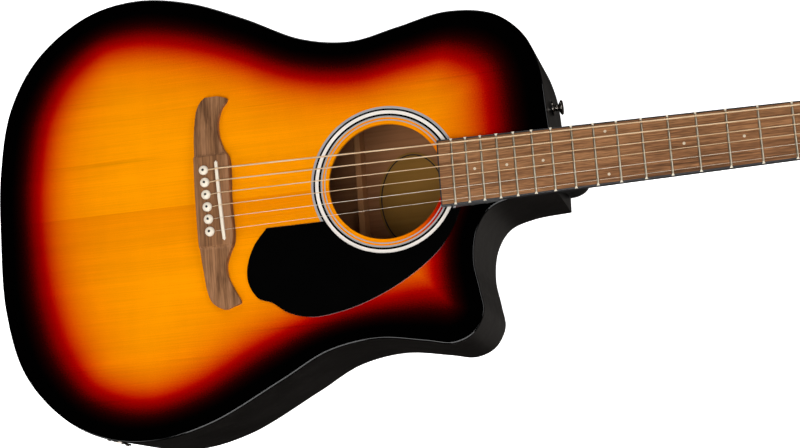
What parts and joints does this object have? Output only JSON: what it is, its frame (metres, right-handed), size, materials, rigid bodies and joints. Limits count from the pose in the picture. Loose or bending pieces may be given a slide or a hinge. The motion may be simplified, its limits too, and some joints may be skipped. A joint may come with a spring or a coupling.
{
  "type": "acoustic guitar",
  "caption": "Six-string flat-top acoustic guitar with a cutaway, sunburst top, round soundhole, pinned bridge, angled head and geared tuners that turn.",
  "frame": {"origin": "on the flat back's outer face, on the body's centreline, straight below the nominal saddle line; the guitar lies on its back", "axes": "+X along the strings from the bridge to the head, +Y to the bass side, +Z out of the soundboard"},
  "size_m": [1.05, 0.3903, 0.1303],
  "materials": {
    "top_finish": "sunburst lacquer, satin gloss",
    "body_finish": "black lacquer, satin gloss",
    "neck_finish": "black lacquer, satin",
    "walnut": "open-grained, oiled",
    "inner_wood": "unfinished",
    "brace_wood": "unfinished, planed",
    "rosette": "grey, black and white rings",
    "pickguard": "polished black",
    "bone": "smooth, off-white",
    "tuner_metal": "dark chrome",
    "strap_metal": "dark chrome",
    "jack_metal": "dark chrome",
    "rod_steel": "plain",
    "wound_string": "bronze winding",
    "plain_string": "plain drawn wire",
    "electronics": "black, fine texture"
  },
  "bodies": {
    "guitar_body": {"back_bracing": "brace_wood", "back_plate": "body_finish", "bridge": "walnut", "bridge_pin_1": "bone", "bridge_pin_2": "bone", "bridge_pin_3": "bone", "bridge_pin_4": "bone", "bridge_pin_5": "bone", "bridge_pin_6": "bone", "bridge_plate": "inner_wood", "fingerboard": "walnut", "jack_plate": "jack_metal", "lining_back_bass": "inner_wood", "lining_back_treble": "inner_wood", "lining_top_bass": "inner_wood", "lining_top_treble": "inner_wood", "neck": "neck_finish", "neck_block": "inner_wood", "nut": "bone", "pickguard": "pickguard", "preamp": "electronics", "rosette": "rosette", "saddle": "bone", "side_bass": "body_finish", "side_treble": "body_finish", "soundboard": "top_finish", "strap_button_neck": "strap_metal", "strap_button_tail": "strap_metal", "string_1": "wound_string", "string_2": "wound_string", "string_3": "wound_string", "string_4": "wound_string", "string_5": "plain_string", "string_6": "plain_string", "tail_block": "inner_wood", "top_bracing": "brace_wood", "truss_rod": "rod_steel", "tuner_housing_1": "tuner_metal", "tuner_housing_2": "tuner_metal", "tuner_housing_3": "tuner_metal", "tuner_housing_4": "tuner_metal", "tuner_housing_5": "tuner_metal", "tuner_housing_6": "tuner_metal"},
    "button_1": {"tuner_button_1": "tuner_metal"},
    "post_1": {"string_post_1": "tuner_metal"},
    "button_2": {"tuner_button_2": "tuner_metal"},
    "post_2": {"string_post_2": "tuner_metal"},
    "button_3": {"tuner_button_3": "tuner_metal"},
    "post_3": {"string_post_3": "tuner_metal"},
    "button_4": {"tuner_button_4": "tuner_metal"},
    "post_4": {"string_post_4": "tuner_metal"},
    "button_5": {"tuner_button_5": "tuner_metal"},
    "post_5": {"string_post_5": "tuner_metal"},
    "button_6": {"tuner_button_6": "tuner_metal"},
    "post_6": {"string_post_6": "tuner_metal"},
    "knob_volume": {"knob_volume": "electronics"},
    "knob_treble": {"knob_treble": "electronics"},
    "knob_bass": {"knob_bass": "electronics"},
    "tuner_switch": {"tuner_switch": "electronics"},
    "battery_door": {"battery_door": "electronics"}
  },
  "joints": [
    {"name": "button_1_turn", "type": "hinge", "parent": "guitar_body", "child": "button_1", "pos_m": [0.7, 0.023, 0.05181], "axis": [0, 1, 0], "continuous": true},
    {"name": "post_1_turn", "type": "hinge", "parent": "guitar_body", "child": "post_1", "pos_m": [0.69755, 0.023, 0.07455], "axis": [0.2837, 0, 0.9589], "continuous": true},
    {"name": "button_2_turn", "type": "hinge", "parent": "guitar_body", "child": "button_2", "pos_m": [0.73836, 0.023, 0.04047], "axis": [0, 1, 0], "continuous": true},
    {"name": "post_2_turn", "type": "hinge", "parent": "guitar_body", "child": "post_2", "pos_m": [0.73591, 0.023, 0.0632], "axis": [0.2837, 0, 0.9589], "continuous": true},
    {"name": "button_3_turn", "type": "hinge", "parent": "guitar_body", "child": "button_3", "pos_m": [0.77672, 0.023, 0.02911], "axis": [0, 1, 0], "continuous": true},
    {"name": "post_3_turn", "type": "hinge", "parent": "guitar_body", "child": "post_3", "pos_m": [0.77427, 0.023, 0.05185], "axis": [0.2837, 0, 0.9589], "continuous": true},
    {"name": "button_4_turn", "type": "hinge", "parent": "guitar_body", "child": "button_4", "pos_m": [0.77672, -0.023, 0.02911], "axis": [0, -1, 0], "continuous": true},
    {"name": "post_4_turn", "type": "hinge", "parent": "guitar_body", "child": "post_4", "pos_m": [0.77427, -0.023, 0.05185], "axis": [0.2837, 0, 0.9589], "continuous": true},
    {"name": "button_5_turn", "type": "hinge", "parent": "guitar_body", "child": "button_5", "pos_m": [0.73836, -0.023, 0.04047], "axis": [0, -1, 0], "continuous": true},
    {"name": "post_5_turn", "type": "hinge", "parent": "guitar_body", "child": "post_5", "pos_m": [0.73591, -0.023, 0.0632], "axis": [0.2837, 0, 0.9589], "continuous": true},
    {"name": "button_6_turn", "type": "hinge", "parent": "guitar_body", "child": "button_6", "pos_m": [0.7, -0.023, 0.05181], "axis": [0, -1, 0], "continuous": true},
    {"name": "post_6_turn", "type": "hinge", "parent": "guitar_body", "child": "post_6", "pos_m": [0.69755, -0.023, 0.07455], "axis": [0.2837, 0, 0.9589], "continuous": true},
    {"name": "knob_volume_turn", "type": "hinge", "parent": "guitar_body", "child": "knob_volume", "pos_m": [0.14005, 0.1287, 0.07829], "axis": [-0.2247, 0.9744, 0.0097], "range_deg": [-135, 135]},
    {"name": "knob_treble_turn", "type": "hinge", "parent": "guitar_body", "child": "knob_treble", "pos_m": [0.16342, 0.1341, 0.07728], "axis": [-0.2247, 0.9744, 0.0097], "range_deg": [-135, 135]},
    {"name": "knob_bass_turn", "type": "hinge", "parent": "guitar_body", "child": "knob_bass", "pos_m": [0.18678, 0.1395, 0.07626], "axis": [-0.2247, 0.9744, 0.0097], "range_deg": [-135, 135]},
    {"name": "tuner_switch_press", "type": "slide", "parent": "guitar_body", "child": "tuner_switch", "axis": [0.2247, -0.9744, -0.0097], "range_m": [0, 0.0008], "stiffness_N_per_m": 400},
    {"name": "battery_door_hinge", "type": "hinge", "parent": "guitar_body", "child": "battery_door", "pos_m": [0.16074, 0.13722, 0.03235], "axis": [-0.9735, -0.225, 0.0422], "range_deg": [0, 90]}
  ],
  "couplings": [
    {"joint": "post_1_turn", "follows": "button_1_turn", "ratio": 0.071429},
    {"joint": "post_2_turn", "follows": "button_2_turn", "ratio": 0.071429},
    {"joint": "post_3_turn", "follows": "button_3_turn", "ratio": 0.071429},
    {"joint": "post_4_turn", "follows": "button_4_turn", "ratio": 0.071429},
    {"joint": "post_5_turn", "follows": "button_5_turn", "ratio": 0.071429},
    {"joint": "post_6_turn", "follows": "button_6_turn", "ratio": 0.071429}
  ]
}
